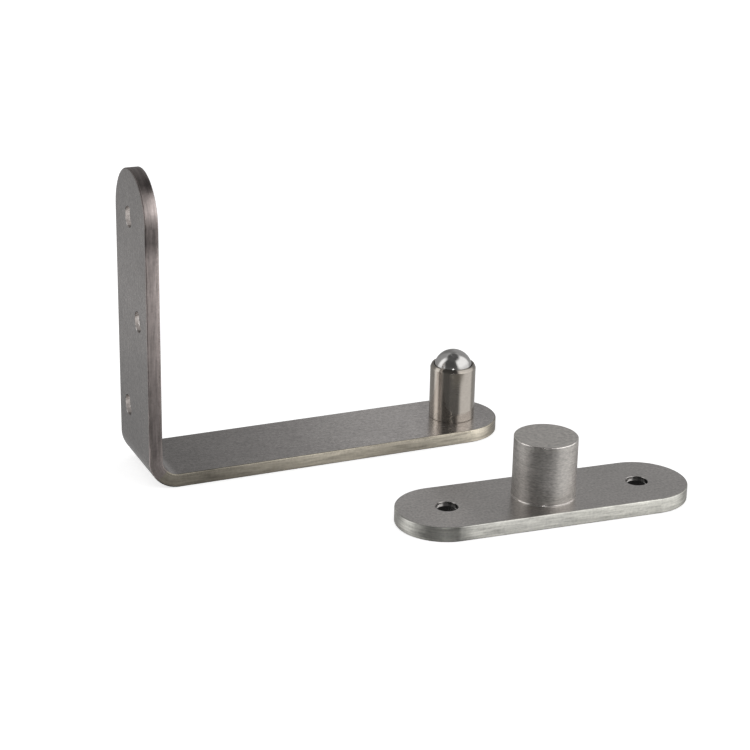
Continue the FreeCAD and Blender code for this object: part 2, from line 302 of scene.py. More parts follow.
@dataclass(frozen=True)
class TurnedSteel(Steel):
    """Steel turned on a lathe, with marks round its upright axis. Some heights are smoother from
    burnishing, and carry painted light there.
    """

    axis: Triple = (0.0, 0.0, 0.0)
    ring: Triple = (60.0, 60.0, 3000.0)
    speck: Triple = (1000.0, 1000.0, 3000.0)
    cloud: Triple = (140.0, 140.0, 140.0)
    ring_share: float = 0.5
    cloud_swing: float = 0.1
    speck_swing: float = 0.2
    cloud_dulling: float = 0.04
    # Burnishing heights, and the painted light there: a positive tone paints a highlight, a negative one
    # paints shade.
    burnished_and_lit: tuple[float, ...] = ()
    burnished_lit_reach: float = 0.22 * MM
    burnished_lit_blend: float = 0.1
    painted_light_tone: float = 0.6
    burnish_roughness: float = 0.14

    def pattern(self, nodes: Nodes) -> tuple[object, object, object]:
        """Rings round the axis, specks that lie along them, clouds, and the burnishing heights with
        their painted light.

        Args:
            nodes: the material's tree.

        Returns:
            Sockets for the tone, the roughness and the height of the marks.
        """
        place = nodes.add("ShaderNodeTexCoord").outputs["Object"]
        middle = tuple(-part for part in self.axis)
        centred = nodes.add("ShaderNodeMapping", Vector=place, Location=middle).outputs[0]
        parts = nodes.add("ShaderNodeSeparateXYZ", Vector=centred).outputs
        flat = nodes.add("ShaderNodeCombineXYZ", X=parts["X"], Y=parts["Y"])
        reach = nodes.add("ShaderNodeVectorMath", flat, settings={"operation": "LENGTH"})
        along = nodes.math("ADD", parts["Z"], reach.outputs["Value"])
        turned = nodes.add("ShaderNodeCombineXYZ", X=parts["X"], Y=parts["Y"], Z=along).outputs[0]
        rings = nodes.noise(turned, self.ring, 3.0)
        specks = nodes.noise(centred, self.speck)
        clouds = nodes.noise(centred, self.cloud, 3.0)
        tone = nodes.swing(
            1.0, (specks, self.speck_swing), (rings, self.speck_swing / 2), (clouds, self.cloud_swing)
        )
        roughness = nodes.swing(
            self.roughness, (specks, self.roughness / 3), (clouds, self.cloud_dulling)
        )
        # Each burnishing height lowers the roughness, and its tone adds a painted highlight, or painted
        # shade when negative.
        for level in self.burnished_and_lit:
            away = nodes.math("ABSOLUTE", nodes.math("SUBTRACT", parts["Z"], level))
            share = nodes.math("SUBTRACT", 1.0, nodes.math("DIVIDE", away, self.burnished_lit_reach))
            edge = nodes.math("SMOOTH_MIN", nodes.math("MAXIMUM", share, 0.0), 1.0, self.burnished_lit_blend)
            tone = nodes.math("MULTIPLY_ADD", edge, self.painted_light_tone, tone)
            fall = nodes.math("SUBTRACT", roughness, self.burnish_roughness)
            roughness = nodes.math("SUBTRACT", roughness, nodes.math("MULTIPLY", edge, fall))
        height = nodes.math("MULTIPLY_ADD", rings, self.ring_share, specks)
        return tone, roughness, height


@dataclass(frozen=True)
class Corner:
    """A corner of a turned section: its radius from the axis, its height, and its rounding."""

    reach: float
    height: float
    round: float = 0.0


def round_corner(before: Vector, at: Vector, after: Vector, radius: float, steps: int) -> list[Point]:
    """The arc that rounds one corner of a section.

    Args:
        before: the corner before it.
        at: the corner itself.
        after: the corner after it.
        radius: the arc's radius.
        steps: how many pieces the arc has.

    Returns:
        The arc's points, from the first side to the second.
    """
    first, second = (before - at).normalized(), (after - at).normalized()
    half = first.angle(second) / 2
    middle = at + (first + second).normalized() * (radius / math.sin(half))
    reach = radius / math.tan(half)
    start, end = at + first * reach - middle, at + second * reach - middle
    sweep = start.angle(end)
    points = []
    for step in range(steps + 1):
        share = step / steps
        spoke = start * math.sin((1 - share) * sweep) + end * math.sin(share * sweep)
        points.append(tuple(middle + spoke / math.sin(sweep)))
    return points


def soften(corners: list[Corner], steps: int = 5) -> list[Point]:
    """Rounds the corners of a section.

    Args:
        corners: the section's corners in order.
        steps: how many pieces each arc has.

    Returns:
        The section's points in order.
    """
    places = [Vector((corner.reach, corner.height)) for corner in corners]
    points = []
    for number, corner in enumerate(corners):
        if corner.round:
            before, at, after = places[number - 1:number + 2]
            points += round_corner(before, at, after, corner.round, steps)
        else:
            points.append(tuple(places[number]))
    return points


@dataclass(frozen=True)
class Lathe:
    """Turns a section round the upright axis with Geometry Nodes."""

    segments: int = TURNED_SEGMENTS

    def tree(self) -> NodeTree:
        """Builds the node tree: a grid whose columns are the section, each turned to its angle.

        Returns:
            The tree.
        """
        group = bpy.data.node_groups.new("lathe", "GeometryNodeTree")
        for name, kind in (("Section", "Geometry"), ("Segments", "Int"), ("Finish", "Material")):
            group.interface.new_socket(name, in_out="INPUT", socket_type=f"NodeSocket{kind}")
        group.interface.new_socket("Piece", in_out="OUTPUT", socket_type="NodeSocketGeometry")
        nodes = Nodes(group)
        given = nodes.add("NodeGroupInput").outputs
        size = nodes.add("GeometryNodeAttributeDomainSize", Geometry=given["Section"])
        count = size.outputs["Point Count"]
        columns = nodes.math("ADD", given["Segments"], 1.0)
        grid = nodes.add("GeometryNodeMeshGrid", Vertices_X=columns, Vertices_Y=count)
        index = nodes.add("GeometryNodeInputIndex")
        column = nodes.math("FLOOR", nodes.math("DIVIDE", nodes.math("ADD", index, 0.5), count))
        row = nodes.math("SUBTRACT", index, nodes.math("MULTIPLY", column, count))
        sample = nodes.add(
            "GeometryNodeSampleIndex",
            settings={"data_type": "FLOAT_VECTOR", "domain": "POINT"},
            Geometry=given["Section"],
            Index=row,
        )
        value = next(socket for socket in sample.inputs if socket.name == "Value" and socket.enabled)
        nodes.put(value, nodes.add("GeometryNodeInputPosition"))
        point = next(socket for socket in sample.outputs if socket.enabled)
        turned = nodes.add(
            "ShaderNodeVectorRotate",
            settings={"rotation_type": "Z_AXIS"},
            Vector=point,
            Angle=nodes.math("MULTIPLY", nodes.math("DIVIDE", column, given["Segments"]), math.tau),
        )
        placed = nodes.add("GeometryNodeSetPosition", Geometry=grid, Position=turned)
        closed = nodes.add("GeometryNodeMergeByDistance", Geometry=placed, Distance=MERGE_DISTANCE)
        smooth = nodes.add("GeometryNodeSetShadeSmooth", Geometry=closed, Shade_Smooth=True)
        angle = nodes.add("GeometryNodeInputMeshEdgeAngle").outputs["Unsigned Angle"]
        edged = nodes.add(
            "GeometryNodeSetShadeSmooth",
            settings={"domain": "EDGE"},
            Geometry=smooth,
            Selection=nodes.math("GREATER_THAN", angle, SHARP_ANGLE),
            Shade_Smooth=False,
        )
        real = nodes.add("GeometryNodeRealizeInstances", Geometry=edged)
        dressed = nodes.add("GeometryNodeSetMaterial", Geometry=real, Material=given["Finish"])
        nodes.add("NodeGroupOutput", Piece=dressed)
        return group

    def turn(self, name: str, section: list[Point], finish: Material) -> Object:
        """Turns a section into a piece.

        Args:
            name: the piece's name.
            section: radius and height of its points, from axis to axis, with the steel on their left.
            finish: its material.

        Returns:
            The piece, round the frame's upright axis.
        """
        mesh = bpy.data.meshes.new(name + "_section")
        points = [(reach, 0.0, height) for reach, height in section]
        mesh.from_pydata(points, [(number, number + 1) for number in range(len(points) - 1)], [])
        blank = link(mesh)
        modifier = blank.modifiers.new("lathe", "NODES")
        modifier.node_group = self.tree()
        sockets = {item.name: item.identifier for item in modifier.node_group.interface.items_tree}
        modifier[sockets["Segments"]] = self.segments
        modifier[sockets["Finish"]] = finish
        return settle(blank, name)


def settle(blank: Object, name: str) -> Object:
    """Makes a piece of an object and its modifiers. Its flats stay flat up to their rounded edges.

    Args:
        blank: the object, which is removed.
        name: the piece's name.

    Returns:
        The piece, with a plain mesh.
    """
    normals = blank.modifiers.new("normals", "WEIGHTED_NORMAL")
    normals.weight = FLATNESS
    normals.keep_sharp = True
    bpy.context.view_layer.update()
    evaluated = blank.evaluated_get(bpy.context.evaluated_depsgraph_get())
    mesh = bpy.data.meshes.new_from_object(evaluated)
    mesh.name = name
    bpy.data.objects.remove(blank)
    return link(mesh)


@dataclass(frozen=True)
class Hole:
    """A round hole through a flat bar.

    Its section gives the radius at each height, from the bar's upper side to its lower one.
    """

    centre: Point
    section: tuple[Point, ...]
    segments: int = 72

    def ring(self, radius: float) -> list[Point]:
        """One ring of the hole's wall.

        Args:
            radius: its radius.

        Returns:
            Its points, counter-clockwise.
        """
        x, y = self.centre
        turns = [math.tau * number / self.segments for number in range(self.segments)]
        return [(x + radius * math.cos(turn), y + radius * math.sin(turn)) for turn in turns]


@dataclass
class FlatBar:
    """A flat bar with full round ends, rounded edges and round holes, along X about the origin."""

    length: float
    width: float
    thickness: float
    holes: list[Hole]
    edge: float = 0.3 * MM
    edge_steps: int = 5
    end_segments: int = 64
    cut_step: float = 4 * MM

    def ring(self, inset: float) -> list[Point]:
        """The outline, moved inwards.

        Args:
            inset: how far.

        Returns:
            The outline's points, counter-clockwise.
        """
        radius = self.width / 2 - inset
        reach = (self.length - self.width) / 2
        points = []
        for side, start in ((1, -math.pi / 2), (-1, math.pi / 2)):
            for number in range(self.end_segments + 1):
                angle = start + math.pi * number / self.end_segments
                points.append((side * reach + radius * math.cos(angle), radius * math.sin(angle)))
        return points

    def edge_section(self) -> list[Point]:
        """The edge's section.

        Returns:
            The inset and the height of each ring, from the upper side to the lower one.
        """
        quarter = [math.pi / 2 * number / self.edge_steps for number in range(self.edge_steps + 1)]
        upper = []
        for angle in quarter:
            inset = self.edge * (1 - math.sin(angle))
            upper.append((inset, self.thickness - self.edge * (1 - math.cos(angle))))
        return upper + [(inset, self.thickness - height) for inset, height in reversed(upper)]

    def build(self, stations: list[float]) -> BMesh:
        """Makes the bar.

        Args:
            stations: places along X where it is cut across, besides the even cuts, so that it bends.

        Returns:
            The bar's mesh, each face marked with the Wall that it belongs to.
        """
        bar = bmesh.new()
        wall_layer = bar.faces.layers.int.new(WALL_MARK)
        outline = [(self.ring(inset), height) for inset, height in self.edge_section()]
        rims = [self.add_wall(bar, outline, Wall.EDGE)]
        for hole in self.holes:
            bore = [(hole.ring(radius), height) for radius, height in hole.section]
            rims.append(self.add_wall(bar, bore, Wall.HOLE))
        for side, direction_z in ((0, 1), (1, -1)):
            edges = [edge for rim in rims for edge in rim[side]]
            bmesh.ops.triangle_fill(bar, edges=edges, use_beauty=True, normal=(0, 0, direction_z))
        bmesh.ops.remove_doubles(bar, verts=bar.verts, dist=MERGE_DISTANCE)
        bmesh.ops.recalc_face_normals(bar, faces=bar.faces)
        cuts = round(self.length / self.cut_step)
        even = [self.length * (number / cuts - 0.5) for number in range(1, cuts)]
        for station in (*stations, *even):
            bmesh.ops.bisect_plane(
                bar,
                geom=[*bar.verts, *bar.edges, *bar.faces],
                plane_co=(station, 0, 0),
                plane_no=(1, 0, 0),
                dist=CUT_DISTANCE,
            )
        self.lay_grain(bar, wall_layer)
        return bar

    def add_wall(
        self, bar: BMesh, rings: list[tuple[list[Point], float]], wall: Wall
    ) -> list[list[BMEdge]]:
        """Joins a stack of rings into a wall.

        Args:
            bar: the bar's mesh.
            rings: the points and the height of each ring, from the upper one down.
            wall: what the wall's faces are marked as.

        Returns:
            The edges of the upper ring and those of the lower one.
        """
        layer = bar.faces.layers.int[WALL_MARK]
        rows = [[bar.verts.new((x, y, height)) for x, y in points] for points, height in rings]
        for upper, lower in zip(rows, rows[1:]):
            for number, vertex in enumerate(upper):
                face = bar.faces.new((upper[number - 1], vertex, lower[number], lower[number - 1]))
                face[layer] = wall
        return [
            [bar.edges.get((row[number - 1], vertex)) for number, vertex in enumerate(row)]
            for row in (rows[0], rows[-1])
        ]

    def lay_grain(self, bar: BMesh, layer: BMLayerItem) -> None:
        """Lays the grain map: along the bar on its faces, and round the outline on its edges.

        Args:
            bar: the bar's mesh.
            layer: the layer that holds each face's Wall.
        """
        grain = bar.loops.layers.uv.new(GRAIN_MAP)
        reach = (self.length - self.width) / 2
        for face in bar.faces:
            middle = face.calc_center_median()
            for loop in face.loops:
                x, y, z = loop.vert.co
                if face[layer] == Wall.FACE:
                    loop[grain].uv = (x, y)
                elif face[layer] == Wall.EDGE and abs(middle.x) <= reach:
                    loop[grain].uv = (x, self.width + z)
                elif face[layer] == Wall.EDGE:
                    side = math.copysign(1.0, middle.x)
                    around = math.atan2(y, abs(x) - reach) * self.width / 2
                    loop[grain].uv = (side * (reach + around), self.width + z)
                else:
                    hole = min(self.holes, key=lambda item: math.dist(item.centre, middle.xy))
                    loop[grain].uv = (math.dist(hole.centre, (x, y)), self.width * 2 + z)


@dataclass(frozen=True)
class ReflectionSpot:
    """A spot on a bar's edge: painted shade where its tone is under 1, a painted reflection where it is
    over 1.
    """

    along: float
    reach: float
    tone: float


@dataclass(frozen=True)
class PaintedReflection:
    """How bright a bar is painted from place to place, as painted reflections, highlights and shade.

    Its faces follow painted stops along the bar. Its cut edges are painted darkest at one place, and
    darker towards the lower side. On each side of that place they have a tint, and the rim of the lower
    side has a painted highlight with a least brightness. The holes' walls are drilled smooth, with a
    painted glint where they face one way along the bar, painted shade where they face away, and darker
    paint where they are countersunk.
    """

    # Every tone here is painted reflection, painted highlight or painted shade on the bare steel.
    middle: float
    faces: tuple[Point, ...]
    darkest: float
    brightest: float
    rise: float
    lower_side: float
    dark_reach: float = 0.0
    painted_spots: tuple[ReflectionSpot, ...] = ()
    tints: tuple[Triple, Triple] = ((1.05, 0.97, 0.96), (1.05, 1.01, 0.86))
    arris: float = 0.09
    # The lower rim's least brightness is a painted highlight.
    arris_highlight_floor: Pair = (0.75, 0.0)
    arris_dulling: float = 0.2
    # Hole walls: painted glint and painted shade by facing, darker paint in the countersink;
    # bored_dulling is real smoothness.
    bored_tone: float = 1.3
    bored_dulling: float = -0.14
    sunk_tone: float = 0.8
    sunk_slope: float = 0.1
    shaded: float = 0.75
    glint: float = 0.0

    def face_tone(self, along: float) -> float:
        """The painted reflection brightness of the bar's faces.

        Args:
            along: the place along the bar, from the middle of the wear.

        Returns:
            The brightness, 1 being bare clean steel.
        """
        for (left, low), (right, high) in zip(self.faces, self.faces[1:]):
            if along < right:
                return low + (high - low) * max(0.0, (along - left) / (right - left))
        return self.faces[-1][1]

    def edge_tone(self, along: float, height: float, on_arris: bool) -> float:
        """The painted reflection and shade brightness of the bar's cut edge.

        Args:
            along: the place along the bar, from the middle of the wear.
            height: its height, as a share of the thickness.
            on_arris: whether it is on the rim of the lower side.

        Returns:
            The brightness, 1 being bare clean steel.
        """
        away = max(0.0, abs(along) - self.dark_reach)
        tone = min(self.brightest, self.darkest + self.rise * away)
        tone *= self.lower_side + 2 * (1 - self.lower_side) * height
        if on_arris:
            tone = max(tone, self.arris_highlight_floor[along > 0])
        for spot in self.painted_spots:
            share = max(0.0, 1 - abs(along - spot.along) / spot.reach)
            tone *= 1 - (1 - spot.tone) * share
        return tone

    def hole_tone(self, normal: Vector) -> float:
        """The painted brightness of a hole's wall: a painted glint where it faces one way along the bar,
        painted shade elsewhere.

        Args:
            normal: the wall's normal there.

        Returns:
            The brightness, 1 being bare clean steel.
        """
        if abs(normal.z) > self.sunk_slope:
            return self.sunk_tone
        return self.bored_tone * (1 - self.shaded * abs(normal.x - self.glint))

    def paint(self, bar: BMesh, thickness: float) -> None:
        """Paints the bar's corners with the painted reflections and shade, and the tint. Alpha marks its
        cut edges.

        Args:
            bar: the flat bar's mesh.
            thickness: its thickness.
        """
        layer = bar.faces.layers.int[WALL_MARK]
        paint = bar.loops.layers.float_color.new(TONE)
        dulling = bar.loops.layers.float.new(DULLING)
        for face in bar.faces:
            on_arris = face.calc_center_median().z < self.arris * thickness
            for loop in face.loops:
                along = loop.vert.co.x - self.middle
                height = loop.vert.co.z / thickness
                if face[layer] == Wall.EDGE:
                    tone = self.edge_tone(along, height, on_arris)
                    loop[paint] = (*(part * tone for part in self.tints[along > 0]), 1.0)
                    loop[dulling] = self.arris_dulling if height < self.arris else 0.0
                elif face[layer] == Wall.HOLE:
                    tone = self.hole_tone(face.normal)
                    loop[paint] = (tone, tone, tone, 0.0)
                    loop[dulling] = self.bored_dulling
                else:
                    tone = self.face_tone(along)
                    loop[paint] = (tone, tone, tone, 0.0)


@dataclass
class Bend:
    """The bar's bend: it turns the blank's left part upright, its lower side outwards.

    The outer side is stretched round the bend, and so it is a little narrower there.
    """

    start: float
    inner_radius: float
    thickness: float
    pinch: float = 0.12 * MM
    steps: int = 24

    @property
    def run(self) -> float:
        """Length of the blank that the bend takes, at mid thickness."""
        return math.pi / 2 * (self.inner_radius + self.thickness / 2)

    def stations(self) -> list[float]:
        """Where the blank is cut across."""
        return [self.start + self.run * number / self.steps for number in range(self.steps + 1)]

    def place(self, point: Vector, half_width: float) -> Vector:
        """Where a point of the blank goes.

        Args:
            point: the point on the flat blank.
            half_width: half the bar's width.

        Returns:
            The point on the bent bar, whose outer faces meet at the origin.
        """
        outer = self.inner_radius + self.thickness
        along = point.x - self.start
        if along <= 0:
            return Vector((point.z, point.y, outer - along))
        if along >= self.run:
            return Vector((outer + along - self.run, point.y, point.z))
        angle = math.pi / 2 * along / self.run
        radius = outer - point.z
        pinch = self.pinch * (1 - point.z / self.thickness) * math.sin(2 * angle) ** 2
        across = point.y * (1 - pinch / half_width)
        return Vector((outer - radius * math.cos(angle), across, outer - radius * math.sin(angle)))


def finish_bar(bar: BMesh, name: str, finish: Material) -> Object:
    """Turns a bar's mesh into a piece.

    Args:
        bar: the mesh, which is freed.
        name: the piece's name.
        finish: its material.

    Returns:
        The piece.
    """
    mesh = bpy.data.meshes.new(name + "_blank")
    for face in bar.faces:
        face.smooth = True
    for edge in bar.edges:
        edge.smooth = edge.calc_face_angle(0.0) < SHARP_ANGLE
    bar.to_mesh(mesh)
    bar.free()
    mesh.materials.append(finish)
    return settle(link(mesh), name)


def hand_over(piece: Object, node: str, body: str) -> None:
    """Lets a piece stand for its CAD node.

    Args:
        piece: the piece.
        node: the node that it replaces.
        body: the body that it rides on.
    """
    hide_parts(node)
    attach(piece, body)
    log.info("%s: %d faces", piece.name, len(piece.data.polygons))


@dataclass
class BracketHalf:
    """The bracket with its pin and the ball caged in it. Its sizes come from the frame."""

    leg_face: float
    free_end: float
    leg_top: float
    width: float
    pin_radius: float
    pin_top: float
    ball_radius: float
    ball_height: float
    screws: list[Triple]
    thickness: float = 3.6 * MM
    bend_radius: float = 4.4 * MM
    screw_land: float = 1.2 * MM
    hole_edge: float = 0.08 * MM
    foot_step: float = 1.85 * MM
    foot_flare: float = 0.8 * MM
    lip_roll: float = 0.9 * MM
    lip_edge: float = 0.5 * MM
    lip_rounds: Triple = (0.25 * MM, 0.12 * MM, 0.06 * MM)
    mouth_gap: float = 0.2 * MM
    seat_clearance: float = 0.05 * MM
    base_round: float = 0.2 * MM
    ball_steps: int = 64
    lathe: Lathe = Lathe()

    @classmethod
    def from_frame(cls, mounts: dict[str, dict]) -> "BracketHalf":
        """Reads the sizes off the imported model.

        Args:
            mounts: the record's mounts by name.

        Returns:
            The sub-assembly.
        """
        low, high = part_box("bracket")
        pin_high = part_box("pivot_pin")[1]
        ball_low, ball_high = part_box("ball")
        names = ("leg_screw_low", "leg_screw_middle", "leg_screw_top")
        return cls(
            leg_face=low.x,
            free_end=high.x,
            leg_top=high.z,
            width=high.y - low.y,
            pin_radius=mounts["pivot_pin"]["dims"]["r_mm"] * MM,
            pin_top=pin_high.z,
            ball_radius=(ball_high.z - ball_low.z) / 2,
            ball_height=(ball_high.z + ball_low.z) / 2,
            screws=[(*mounts[name]["pos_m"][1:], mounts[name]["dims"]["r_mm"] * MM) for name in names],
        )

    def build(self, bar_finish: Steel, pin_finish: Steel, ball_finish: Steel) -> None:
        """Builds and dresses the three pieces.

        Args:
            bar_finish: the bracket's finish.
            pin_finish: the pin's.
            ball_finish: the ball's.
        """
        self.build_bracket(bar_finish.material())
        self.build_pin(pin_finish.material())
        self.build_ball(ball_finish.material())

    def build_bracket(self, finish: Material) -> None:
        """Bends the bracket from its flat blank.

        Args:
            finish: its material.
        """
        outer = self.bend_radius + self.thickness
        bend = Bend(0.0, self.bend_radius, self.thickness)
        leg = self.leg_top - outer
        arm = self.free_end - self.leg_face - outer
        length = leg + bend.run + arm
        bend.start = leg - length / 2
        foot = self.pin_radius - self.foot_step
        holes = [
            self.screw_hole(bend.start + outer - height, across, radius)
            for across, height, radius in self.screws
        ]
        pin_seat = ((foot, self.thickness), (foot, self.foot_flare), (foot + self.foot_flare, 0.0))
        holes.append(Hole((length / 2 - self.free_end, 0.0), pin_seat))
        bar = FlatBar(length, self.width, self.thickness, holes).build(bend.stations())
        self.painted_reflection(bend.start + bend.run / 2, length).paint(bar, self.thickness)
        for vertex in bar.verts:
            vertex.co = bend.place(vertex.co, self.width / 2) + Vector((self.leg_face, 0, 0))
        hand_over(finish_bar(bar, "bent_bracket", finish), "bracket", "bracket_half")

    def painted_reflection(self, bend_middle: float, length: float) -> PaintedReflection:
        """The bracket's painted reflections and shade: darker about the bend, at the leg's end and on
        the arm, brighter by the pin.

        Args:
            bend_middle: the middle of the bend, along the blank.
            length: the blank's length.

        Returns:
            The wear.
        """
        leg_end, arm_end = -length / 2 - bend_middle, length / 2 - bend_middle
        # The face stops and the edge spots are painted reflections and painted shade.
        leg = ((leg_end, 0.82), (-45 * MM, 1.08), (-9 * MM, 0.7), (9 * MM, 0.8), (36 * MM, 1.05))
        arm = ((arm_end - 37 * MM, 1.45), (arm_end - 23 * MM, 1.42), (arm_end - 4 * MM, 0.93))
        painted_spots = (
            ReflectionSpot(leg_end + 2.5 * MM, 6 * MM, 0.33),
            ReflectionSpot(leg_end + 14.7 * MM, 6.5 * MM, 0.2),
            ReflectionSpot(0.0, 13 * MM, 1.4),
            ReflectionSpot(arm_end - 33 * MM, 22 * MM, 0.72),
            ReflectionSpot(arm_end, 20 * MM, 1.75),
            ReflectionSpot(arm_end - 1.5 * MM, 9 * MM, 0.25),
        )
        return PaintedReflection(
            middle=bend_middle,
            faces=leg + arm,
            darkest=0.335,
            brightest=0.875,
            rise=16.8,
            lower_side=0.9,
            dark_reach=13 * MM,
            painted_spots=painted_spots,
            bored_tone=1.9,
        )

    def screw_hole(self, along: float, across: float, radius: float) -> Hole:
        """A screw hole in the leg, countersunk on the leg's inner face.

        Args:
            along: its place along the blank.
            across: its place across the blank.
            radius: its clear radius.

        Returns:
            The hole.
        """
        sink = radius + self.thickness - self.screw_land
        wall = (
            (sink, self.thickness),
            (radius, self.screw_land),
            (radius, self.hole_edge),
            (radius + self.hole_edge, 0.0),
        )
        return Hole((along, across), wall)

    def build_pin(self, finish: Material) -> None:
        """Turns the pin: foot, polished wall, rolled lip and the ball's seat.

        Args:
            finish: its material.
        """
        foot = self.pin_radius - self.foot_step
        seat = self.ball_radius + self.seat_clearance
        over = self.pin_top - self.ball_height
        mouth = math.sqrt(self.ball_radius**2 - over**2) + self.mouth_gap
        cone = seat / math.tan(DRILL_ANGLE)
        point = self.ball_height - seat / math.sin(DRILL_ANGLE)
        side_round, top_round, mouth_round = self.lip_rounds
        section = soften([
            Corner(0.0, 0.0),
            Corner(foot + self.foot_flare, 0.0),
            Corner(foot, self.foot_flare),
            Corner(foot, self.thickness),
            Corner(self.pin_radius, self.thickness, self.base_round),
            Corner(self.pin_radius, self.pin_top - self.lip_roll, side_round),
            Corner(mouth + self.lip_edge, self.pin_top, top_round),
            Corner(mouth, self.pin_top, mouth_round),
            Corner(seat, self.ball_height),
            Corner(seat, point + cone),
            Corner(0.0, point),
        ])
        pin = self.lathe.turn("turned_pin", section, finish)
        hand_over(pin, "pivot_pin", "bracket_half")

    def build_ball(self, finish: Material) -> None:
        """Turns the ball.

        Args:
            finish: its material.
        """
        angles = [math.pi * (number / self.ball_steps - 0.5) for number in range(self.ball_steps + 1)]
        section = [
            (self.ball_radius * math.cos(angle), self.ball_height + self.ball_radius * math.sin(angle))
            for angle in angles
        ]
        hand_over(self.lathe.turn("bearing_ball", section, finish), "ball", "ball")


@dataclass
class SocketHalf:
    """The socket plate with its cup. Its sizes come from the frame."""

    axis: Vector
    along: Vector
    screw_circle: float
    screw_radius: float
    bore_radius: float
    plate_top: float
    cup_top: float
    length: float = 80 * MM
    width: float = 25 * MM
    screw_land: float = 1.2 * MM
    hole_edge: float = 0.12 * MM
    cup_wall: float = 1.75 * MM
    cup_shoulder: float = 0.75 * MM
    cup_edge: float = 0.3 * MM
    cup_end: float = 2.1 * MM
    base_bead: float = 0.36 * MM
    # Heights of the cup's burnishing, which also carry a painted highlight.
    burnished_lit_rim: float = 0.15 * MM
    burnished_lit_base: float = 0.2 * MM
    lathe: Lathe = Lathe()

    @classmethod
    def from_frame(cls, mounts: dict[str, dict]) -> "SocketHalf":
        """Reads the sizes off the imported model.

        Args:
            mounts: the record's mounts by name.

        Returns:
            The sub-assembly.
        """
        bore, screws = mounts["socket_bore"], mounts["plate_screws"]
        axis = Vector((*bore["pos_m"][:2], 0.0))
        beside = Vector((*mounts["plate_underside"]["pos_m"][:2], 0.0))
        return cls(
            axis=axis,
            along=(beside - axis).normalized(),
            screw_circle=screws["dims"]["pcd_mm"] * MM / 2,
            screw_radius=screws["dims"]["hole_r_mm"] * MM,
            bore_radius=bore["dims"]["r_mm"] * MM,
            plate_top=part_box("socket_plate")[1].z,
            cup_top=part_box("socket_cup")[1].z,
        )

    def build(self, bar_finish: Steel, cup_finish: Steel) -> None:
        """Builds and dresses the two pieces."""
        self.build_plate(bar_finish.material())
        self.build_cup(cup_finish.material())

    def build_plate(self, finish: Material) -> None:
        """Cuts the plate.

        Args:
            finish: its material.
        """
        thickness = self.plate_top
        radius = self.screw_radius
        land = thickness - self.screw_land
        wall = (
            (radius + self.hole_edge, thickness),
            (radius, thickness - self.hole_edge),
            (radius, land),
            (radius + land, 0.0),
        )
        holes = [Hole((side * self.screw_circle, 0.0), wall) for side in (-1, 1)]
        foot = self.bore_radius + self.cup_wall - self.cup_shoulder
        holes.append(Hole((0.0, 0.0), ((foot, thickness), (foot, 0.0)), TURNED_SEGMENTS))
        bar = FlatBar(self.length, self.width, thickness, holes).build([])
        self.painted_reflection().paint(bar, thickness)
        turn = Matrix.Rotation(math.atan2(self.along.y, self.along.x), 4, "Z")
        bmesh.ops.transform(bar, matrix=Matrix.Translation(self.axis) @ turn, verts=bar.verts)
        hand_over(finish_bar(bar, "cut_plate", finish), "socket_plate", "socket_half")

    def painted_reflection(self) -> PaintedReflection:
        """The plate's painted reflections and shade: its left end is painted brighter on top, and darker
        round its edge.

        Returns:
            The wear.
        """
        end = self.length / 2
        # The face stops and the edge spots are painted reflections and painted shade.
        faces = ((-end, 1.22), (12 * MM - end, 1.22), (20 * MM - end, 1.0), (20 * MM, 0.93), (end, 0.93))
        painted_spots = (
            ReflectionSpot(11.5 * MM - end, 3.5 * MM, 0.35),
            ReflectionSpot(5 * MM - end, 4 * MM, 0.8),
            ReflectionSpot(-end, 4 * MM, 0.7),
            ReflectionSpot(end - 4 * MM, 12 * MM, 0.68),
            ReflectionSpot(end, 3.5 * MM, 0.5),
        )
        return PaintedReflection(
            middle=0.0,
            faces=faces,
            darkest=1.31,
            brightest=1.46,
            rise=6.0,
            lower_side=0.95,
            painted_spots=painted_spots,
            tints=((0.99, 1.02, 0.98), (0.99, 1.02, 0.97)),
            shaded=0.6,
            glint=0.6,
        )

    def burnished_and_lit(self) -> Pair:
        """The heights of the cup's rim and base, smoother from burnishing and given a painted highlight.
        """
        return self.cup_top - self.burnished_lit_rim, self.plate_top + self.burnished_lit_base

    def build_cup(self, finish: Material) -> None:
        """Turns the cup.

        Args:
            finish: its material.
        """
        wall = self.bore_radius + self.cup_wall
        foot = wall - self.cup_shoulder
        point = self.cup_top - self.cup_end
        cone = self.bore_radius / math.tan(DRILL_ANGLE)
        section = soften([
            Corner(0.0, point),
            Corner(self.bore_radius, point - cone),
            Corner(self.bore_radius, 0.0),
            Corner(foot, 0.0),
            Corner(foot, self.plate_top),
            Corner(wall + self.base_bead / 2, self.plate_top),
            Corner(wall, self.plate_top + self.base_bead),
            Corner(wall, self.cup_top, self.cup_edge),
            Corner(0.0, self.cup_top),
        ])
        cup = self.lathe.turn("turned_cup", section, finish)
        cup.data.transform(Matrix.Translation(self.axis))
        hand_over(cup, "socket_cup", "socket_half")


@dataclass(frozen=True)
class Patch:
    """A soft-edged patch of the tent.

    Directions are degrees. Azimuth 0 is the front, -Y, and 90 is +X.
    """

    name: str
    azimuths: Pair
    elevations: Pair
    shade: float
    fade: float = 4.0

    def cover(self, azimuth: float, elevation: float) -> float:
        """How much the patch covers a direction.

        Args:
            azimuth: the direction's azimuth.
            elevation: the direction's elevation.

        Returns:
            A share from 0 to 1, one half on the patch's border.
        """
        middle = sum(self.azimuths) / 2
        aside = abs((azimuth - middle + 180) % 360 - 180)
        inside = (
            self.azimuths[1] - middle - aside,
            min(elevation - self.elevations[0], self.elevations[1] - elevation),
        )
        return math.prod(min(1.0, max(0.0, 0.5 + depth / self.fade / 2)) for depth in inside)


